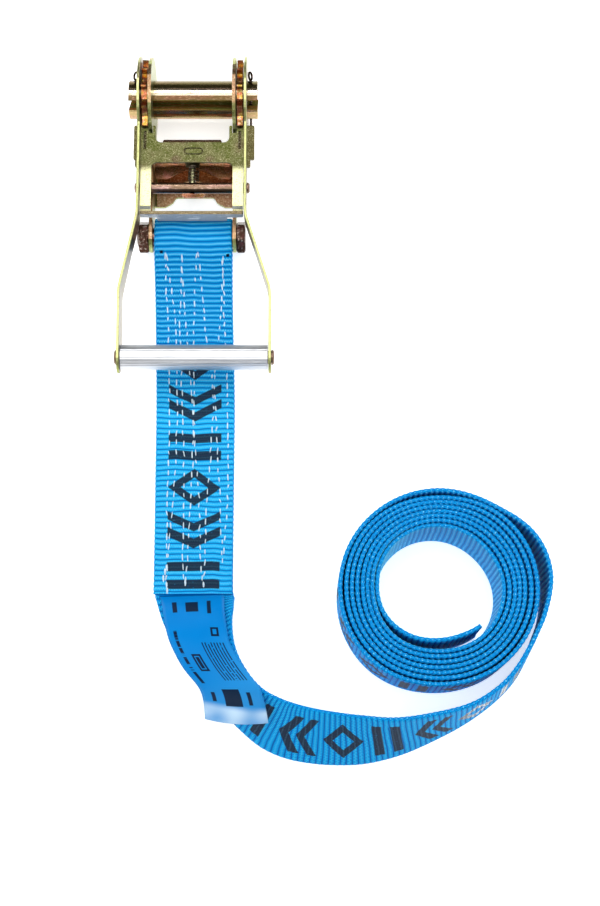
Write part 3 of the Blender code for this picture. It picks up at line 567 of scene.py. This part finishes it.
# (x, y, height) of its left edge, then of its right edge
LABEL_EDGES = (
    (-18.6, -262.0, 2.85, 20.8, -262.0, 2.85), (-18.5, -269.4, 3.1, 20.9, -269.4, 3.6),
    (-17.4, -272.2, 4.8, 21.6, -271.6, 11.0), (-16.4, -275.2, 7.2, 22.2, -274.6, 17.5),
    (-14.8, -282.0, 14.0, 22.9, -282.3, 27.0), (-12.1, -294.0, 23.0, 25.0, -294.6, 37.0),
    (-8.7, -303.4, 26.5, 27.6, -305.2, 42.0), (-1.1, -316.8, 30.0, 35.2, -318.3, 45.5),
    (8.5, -329.1, 30.5, 44.3, -330.6, 47.0), (11.1, -338.3, 24.0, 48.1, -340.6, 37.5),
    (11.7, -345.8, 16.5, 49.6, -348.6, 27.0),
)
LABEL_WIDTH = 39.4
LABEL_COLUMNS = 16
LABEL_FILM = 0.4


def make_label():
    """The film between its two edges, crowned, rippled and curled up at its free end."""
    edges = catmull(LABEL_EDGES, 8)
    middle = (edges[:, :3] + edges[:, 3:]) / 2
    along = np.concatenate([[0], np.cumsum(np.linalg.norm(np.diff(middle, axis=0), axis=1))])
    rows = []
    for k, edge in enumerate(edges):
        left, right = edge[:3], edge[3:]
        before, after = middle[max(k - 1, 0)], middle[min(k + 1, len(middle) - 1)]
        normal = np.cross(right - left, after - before)
        normal *= math.copysign(1, normal[2]) / np.linalg.norm(normal)
        free = ease(along[k], 8, 40)
        curl = ease(along[k], along[-1] - 16, along[-1])
        row = []
        for c in np.linspace(0, 1, LABEL_COLUMNS + 1):
            crown = (1 - (2 * c - 1) ** 2) * 1.3 * free
            wave = 0.5 * free * math.sin(along[k] / 9 + 2.5 * c)
            lift = curl * (0.6 + 0.8 * math.sin(math.pi * c))
            row.append(left + (right - left) * c + normal * (crown + wave + lift))
        rows.append(row)
    made = grid_mesh("label_film", rows, lambda r, c: (along[r], c / LABEL_COLUMNS * LABEL_WIDTH), False, False)
    thickness = made.modifiers.new("thickness", "SOLIDIFY")
    thickness.thickness = LABEL_FILM * MM
    thickness.offset = 0
    made.data.materials.append(label_material())
    return made


def label_material():
    """Blue film with plain blocks, frames and ruled lines; u runs down the label, v across it."""
    net = Net("label_film", Roughness=0.35, Specular_IOR_Level=0.06)
    u, v, _, vector = net.coordinates("UV")
    base = net.mix(net.noise(vector, 0.03), rgb(0, 118, 196), rgb(0, 130, 208))
    # Painted reflection: the film is paler towards its free end, most on the right
    base = net.mix(net.step(u + v, 70, 125) * 0.4, base, rgb(60, 156, 220))
    # Painted highlight where the free end curls
    curl_highlight = net.step(u - v * 0.1, 96, 102) * net.step(net.noise(vector, 0.04, 1), 0.2, 0.75)
    base = net.mix(curl_highlight, base, rgb(206, 232, 250))
    seam_shade = net.within(u - 11.0, 0.45, 0.3)
    base = net.mix(seam_shade, base, rgb(6, 16, 50))

    def block(x0, x1, y0, y1):
        return (net.within(u - (x0 + x1) / 2, (x1 - x0) / 2, 0.2)
                * net.within(v - (y0 + y1) / 2, (y1 - y0) / 2, 0.2))

    def frame_of(x0, x1, y0, y1, border=1.3):
        return block(x0, x1, y0, y1) * (1 - block(x0 + border, x1 - border, y0 + border, y1 - border))

    def dashes(pitch, density):
        row = net.math("FLOOR", v / pitch)
        cut = net.noise(net.vector(u * 0.9, row * 7), 0.5)
        ruled = net.within(net.math("FRACT", v / pitch) - 0.5, 0.2, 0.08)
        return ruled * net.step(cut, density, density + 0.04)

    words = net.step(net.noise(net.vector(u * 1.6, 3.0), 0.5), 0.42, 0.46)
    shapes = [block(*box) for box in (
        (21, 31, 15, 23), (20, 31, 6.5, 9.5), (20, 33, 28.5, 31), (88, 100, 15, 26), (90, 97, 6.8, 9.4),
        (90, 99, 30, 32.4), (65, 73, 12.9, 15.1))]
    shapes += [frame_of(45, 51, 29, 34), frame_of(63, 75, 11, 17)]
    shapes += [dashes(1.9, 0.36) * block(55, 82, 20.5, 36.5), block(46, 84, 4.6, 6.9) * words]
    marks = shapes[0]
    for shape in shapes[1:]:
        marks = net.math("MAXIMUM", marks, shape)
    net.set(Base_Color=net.mix(marks * 0.95, base, rgb(12, 16, 34)))
    net.bump(net.noise(vector, 0.09, 3), 0.25, 0.5)
    return net.material


label = make_label()


# Metal

SHINE = 0.03                   # specular level of every metal


def metal(name, colours, roughness, grain, relief, scale=(1, 1, 1), spread=0.12, zones=(), dull=None,
          flecks=(0.55, 0.65), patches=0.06):
    """A plated metal whose tint drifts between its first three colours, with light and dark speckles.

    Each zone is a function that gives its mask from the object's coordinates and normal, its colour
    and its weight. Where the mask dull is 1, the metal hardly mirrors.
    """
    net = Net(name, Metallic=1.0, Specular_IOR_Level=SHINE)
    x, y, z, _ = net.coordinates("Object")
    normal = [part * MM for part in net.coordinates("Normal")[:3]]
    vector = net.vector(x * scale[0], y * scale[1], z * scale[2])
    drift = net.noise(vector, patches, 3, 0.6)
    speckle = net.noise(vector, 1 / grain, 3, 0.7)
    colour = net.mix(net.step(drift, 0.38, 0.52), rgb(*colours[0]), rgb(*colours[1]))
    colour = net.mix(net.step(drift, 0.52, 0.66), colour, rgb(*colours[2]))
    for mask, tint, weight in zones:
        colour = net.mix(mask(net, x, y, z, *normal) * weight, colour, rgb(*tint))
    colour = net.mix(net.step(speckle, 0.52, 0.74) * flecks[0], colour, rgb(*colours[3]))
    colour = net.mix(net.step(speckle, 0.48, 0.32) * flecks[1], colour, rgb(*colours[4]))
    rough = roughness + (speckle - 0.5) * spread
    if dull:
        mask = dull(net, x, y, z, *normal)
        net.set(Metallic=1 - mask, Specular_IOR_Level=SHINE - mask * SHINE)
        rough = rough + mask * 0.6
    net.set(Base_Color=colour, Roughness=rough)
    net.bump(speckle, relief, 0.6)
    return net.material


# Zones: each gives a mask from x, y, z in millimetres and from the normal's nx, ny, nz

X, Y, Z, NX, NY, NZ = range(6)
SPINDLE_Y, SPINDLE_Z = 46.0, 27.5
SLOT_LEAN = math.radians(49.0)
SLOT_HALF_GAP = 2.9


def beyond(axis, low, high):
    """0 to 1 from low to high along an axis of the object, or of its normal."""
    return lambda net, *place: net.step(place[axis], low, high)


def either_side(axis, low, high):
    """The same on both sides of the middle."""
    return lambda net, *place: net.step(net.math("ABSOLUTE", place[axis]), low, high)


def groove(net, x, y, z, nx, ny, nz):
    """The grooves pressed into the drive pawl's ends, painted dark as the shade in them."""
    return net.within(net.math("ABSOLUTE", x) - 29.9, 0.9, 0.3) * net.within(y - 14.6, 6.2)


def lip(net, x, y, z, nx, ny, nz):
    """The drive pawl's bent front edge, painted dark as shade."""
    return net.within(x, 20) * net.step(y, 12.8, 13.6)


def finger_face(net, x, y, z, nx, ny, nz):
    """The finger bar's side towards the grip, where a reflection is painted grey-blue."""
    return net.step(y, -24, -28) * net.step(ny, -0.6, -0.9)


def reflection_patches(net, x, y, z, *normal):
    """Painted reflection: white patches on the finger bar."""
    wear_and_glint = net.step(net.noise(net.vector(x * 0.5, y, z), 0.16), 0.46, 0.6)
    return finger_face(net, x, y, z, *normal) * wear_and_glint


def ring_mark(net, x, y, z, nx, ny, nz):
    """The oval ring pressed into the drive pawl's bridge, painted dark as the shade in it."""
    along = net.math("MAXIMUM", net.math("ABSOLUTE", x - 0.8) - 3.8, 0.0)
    across = y - 7.0
    away = net.math("SQRT", along * along + across * across)
    return net.within(away - 1.95, 0.45, 0.1) * net.step(nz, 0.5, 0.8)


def round_band(start, full, full_end, end):
    """A band round the spindle, by its normal's share along a line that rises 25 degrees towards +Y."""
    rise = math.radians(25.0)

    def mask(net, x, y, z, nx, ny, nz):
        share = ny * math.cos(rise) + nz * math.sin(rise)
        return net.step(share, start, full) * net.step(share, end, full_end)
    return mask


def slot_side(net, x, y, z, nx, ny, nz):
    """The flat sides of the spindle's slot."""
    height = (y - SPINDLE_Y) * math.sin(SLOT_LEAN) + (z - SPINDLE_Z) * math.cos(SLOT_LEAN)
    return net.within(height, SLOT_HALF_GAP + 0.3, 0.2)


def slot_stripes(net, x, y, z, *normal):
    """Bands of interference colour along the slot."""
    bands = net.step(net.noise(net.vector(x * 0.06, y, z), 0.5, 1), 0.42, 0.6)
    return slot_side(net, x, y, z, *normal) * bands


def along_spindle(share):
    """Settings of a bright rod whose grain runs along X."""
    return {"roughness": 0.2, "grain": 0.8, "relief": 0.02, "scale": (share, 1, 1), "spread": 0.05,
            "flecks": (0.25, 0.5)}


# Painted light on the handle plates: paler on faces that look up, a darker rose on faces that look to the sides
TOP_FACE_LIGHT, SIDE_FACE_SHADE = (186, 188, 132), (152, 130, 126)
HANDLE_ZINC = ((168, 172, 108), (150, 156, 86), (176, 164, 118), (240, 238, 206), (62, 64, 38))
by_node = {
    # Painted shade: the frame's faces towards the sides and towards up and down get darker tints, by how the
    # light falls on them
    "frame": metal(
        "zinc_frame", ((178, 184, 118), (154, 160, 94), (186, 170, 124), (246, 242, 206), (62, 62, 38)),
        0.3, 1.2, 0.05, zones=((either_side(NX, 0.8, 0.95), (150, 156, 100), 0.8),
                               (either_side(NZ, 0.8, 0.95), (150, 106, 84), 0.85))),
    "drive_pawl": metal(
        "zinc_drive_pawl", ((76, 80, 40), (88, 88, 54), (82, 70, 50), (186, 178, 144), (24, 24, 14)),
        0.33, 0.8, 0.07, dull=finger_face,
        # Painted reflection: the arms towards the grip are pale where they mirror the light
        zones=((beyond(Y, -2, -8), (226, 224, 172), 0.92), (either_side(X, 34, 36), (74, 68, 40), 0.9),
               (lip, (84, 50, 42), 0.85), (beyond(Y, -31, -32.4), (88, 68, 50), 0.9),
               (groove, (40, 32, 20), 0.9), (ring_mark, (44, 40, 20), 0.9),
               (finger_face, (172, 184, 198), 0.95), (reflection_patches, (240, 243, 246), 0.85))),
    "lock_pawl": metal(
        "zinc_lock_pawl", ((190, 124, 92), (158, 112, 70), (206, 136, 116), (240, 216, 196), (80, 48, 34)),
        0.34, 1.0, 0.06),
    "tail_bolt": metal(
        "zinc_bolt", ((74, 46, 40), (60, 42, 32), (92, 56, 52), (214, 198, 184), (24, 14, 14)),
        0.22, 1.8, 0.08, patches=0.12),
    "handle_crossbar": metal(
        "zinc_bar", ((126, 98, 88), (108, 88, 70), (142, 112, 108), (236, 206, 190), (62, 40, 32)),
        **along_spindle(0.3)),
    "spindle_half_upper": metal(
        "zinc_spindle", ((96, 66, 48), (86, 68, 42), (112, 70, 60), (226, 190, 160), (50, 36, 22)),
        # Painted reflections: an olive band on the side towards +Y and a pale highlight band across the top;
        # painted shade on the slot's sides
        zones=((round_band(0.58, 0.68, 1.1, 1.2), (126, 118, 62), 0.6),
               (round_band(0.24, 0.36, 0.46, 0.6), (250, 238, 208), 0.8),
               (slot_side, (100, 94, 40), 1.0)), dull=slot_side, **along_spindle(0.35)),
    "spindle_half_lower": metal(
        "zinc_spindle_lower",
        # Painted light: the lower half is paler than the upper, as if lit; painted shade on the slot's sides,
        # which stay dark
        ((214, 172, 136), (190, 164, 112), (222, 166, 148), (236, 206, 180), (70, 52, 36)),
        zones=((slot_side, (98, 98, 38), 1.0), (slot_stripes, (140, 78, 38), 0.8)),
        dull=slot_side, **along_spindle(0.35)),
    "ratchet_wheel_left": metal(
        "zinc_wheel", ((176, 142, 58), (158, 88, 62), (110, 92, 44), (252, 236, 204), (40, 24, 18)),
        0.22, 1.5, 0.08, patches=0.16),
}
for side in ("left", "right"):
    by_node["handle_plate_" + side] = metal(
        "zinc_handle_" + side, HANDLE_ZINC, 0.3, 1.2, 0.04, flecks=(0.25, 0.4), patches=0.04,
        zones=((either_side(NX, 0.7, 0.95), SIDE_FACE_SHADE, 0.7), (beyond(NZ, 0.5, 0.8), TOP_FACE_LIGHT, 0.6)))
    by_node["split_pin_" + side] = by_node["tail_bolt"]
by_node["ratchet_wheel_right"] = by_node["ratchet_wheel_left"]
by_node["tail_nut"] = by_node["tail_bolt"]
by_node["grip_rod"] = by_node["handle_crossbar"]
by_slot = {
    "spring_steel": metal(
        "spring_steel", ((110, 100, 84), (90, 82, 70), (126, 112, 96), (206, 198, 180), (40, 34, 28)),
        0.35, 0.6, 0.03),
    "grip_aluminium": metal(
        "bright_aluminium",
        ((218, 219, 221), (208, 210, 214), (226, 226, 226), (242, 242, 242), (160, 162, 168)),
        0.42, 0.9, 0.012, (0.04, 1, 1), 0.05),
}
for row in frame["record"]["subparts"]:
    finish = by_node.get(row["node"]) or by_slot.get(row["material_slot"])
    if finish:
        for place in nodes[row["node"]].material_slots:
            place.material = finish


# Bodies; the imported strap and label are hidden

for piece, slot in ((strap, "webbing"), (stitching, "webbing"), (label, "label_film")):
    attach(piece, "frame")
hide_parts("strap_sewn_loop", "strap_free_run", "strap_roll")
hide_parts("label")


# Floor, light and camera

def make_floor():
    """A wide white floor, slightly lit from within."""
    shape = bmesh.new()
    bmesh.ops.create_grid(shape, x_segments=8, y_segments=8, size=6.0)
    mesh = bpy.data.meshes.new("floor")
    shape.to_mesh(mesh)
    shape.free()
    made = bpy.data.objects.new("floor", mesh)
    bpy.context.scene.collection.objects.link(made)
    net = Net("white_floor", Roughness=0.9, Specular_IOR_Level=0.1, Base_Color=(0.92, 0.92, 0.92, 1.0),
              Emission_Color=(1.0, 1.0, 1.0, 1.0), Emission_Strength=0.6)
    mesh.materials.append(net.material)
    return made


def softbox(name, place, target, size, power):
    """A soft rectangular light; places and sizes are metres."""
    light = bpy.data.lights.new(name, "AREA")
    light.shape = "RECTANGLE"
    light.size, light.size_y = size
    light.energy = power
    made = bpy.data.objects.new(name, light)
    made.location = place
    made.rotation_euler = (Vector(target) - Vector(place)).to_track_quat("-Z", "Y").to_euler()
    bpy.context.scene.collection.objects.link(made)


make_floor()
softbox("overhead", (0.07, -0.15, 1.3), (0.07, -0.15, 0), (1.1, 1.15), 8.5)
softbox("strip", (0.05, 0.76, 1.2), (0.05, 0.04, 0), (1.6, 0.13), 8)
softbox("left", (-1.3, -0.2, 0.7), (0, -0.1, 0), (0.9, 0.9), 5)
softbox("right", (1.4, -0.1, 0.7), (0.1, -0.1, 0), (0.9, 0.9), 4)


def make_world():
    """Soft light that falls off towards the zenith and towards the far side of the studio."""
    world = bpy.data.worlds.new("studio")
    world.use_nodes = True
    bpy.context.scene.world = world
    tree = world.node_tree
    background = tree.nodes["Background"]
    direction = tree.nodes.new("ShaderNodeTexCoord")
    split = tree.nodes.new("ShaderNodeSeparateXYZ")
    ramp = tree.nodes.new("ShaderNodeValToRGB")
    stops = ramp.color_ramp.elements
    for position, level in ((0.0, 1.0), (0.5, 0.8), (0.8, 0.45), (1.0, 0.3)):
        stop = stops.new(position) if 0 < position < 1 else stops[int(position)]
        stop.color = (level, level, level, 1)
    far_side = tree.nodes.new("ShaderNodeMapRange")
    far_side.interpolation_type = "SMOOTHSTEP"
    for key, value in (("From Min", 0.1), ("From Max", 0.8), ("To Min", 1.0), ("To Max", 0.25)):
        far_side.inputs[key].default_value = value
    tree.links.new(direction.outputs["Generated"], split.inputs[0])
    tree.links.new(split.outputs["Z"], ramp.inputs[0])
    tree.links.new(split.outputs["Y"], far_side.inputs["Value"])
    tree.links.new(ramp.outputs[0], background.inputs["Color"])
    tree.links.new(far_side.outputs["Result"], background.inputs["Strength"])


make_world()
bpy.context.scene.view_settings.view_transform = "Standard"
camera = bpy.data.objects.new("camera", bpy.data.cameras.new("camera"))
camera.data.lens = 65.85
camera.data.clip_end = 20
camera.location = (0.068, -0.4174, 1.01077)
camera.rotation_euler = (math.radians(13.214), 0, 0)
bpy.context.scene.collection.objects.link(camera)
bpy.context.scene.camera = camera
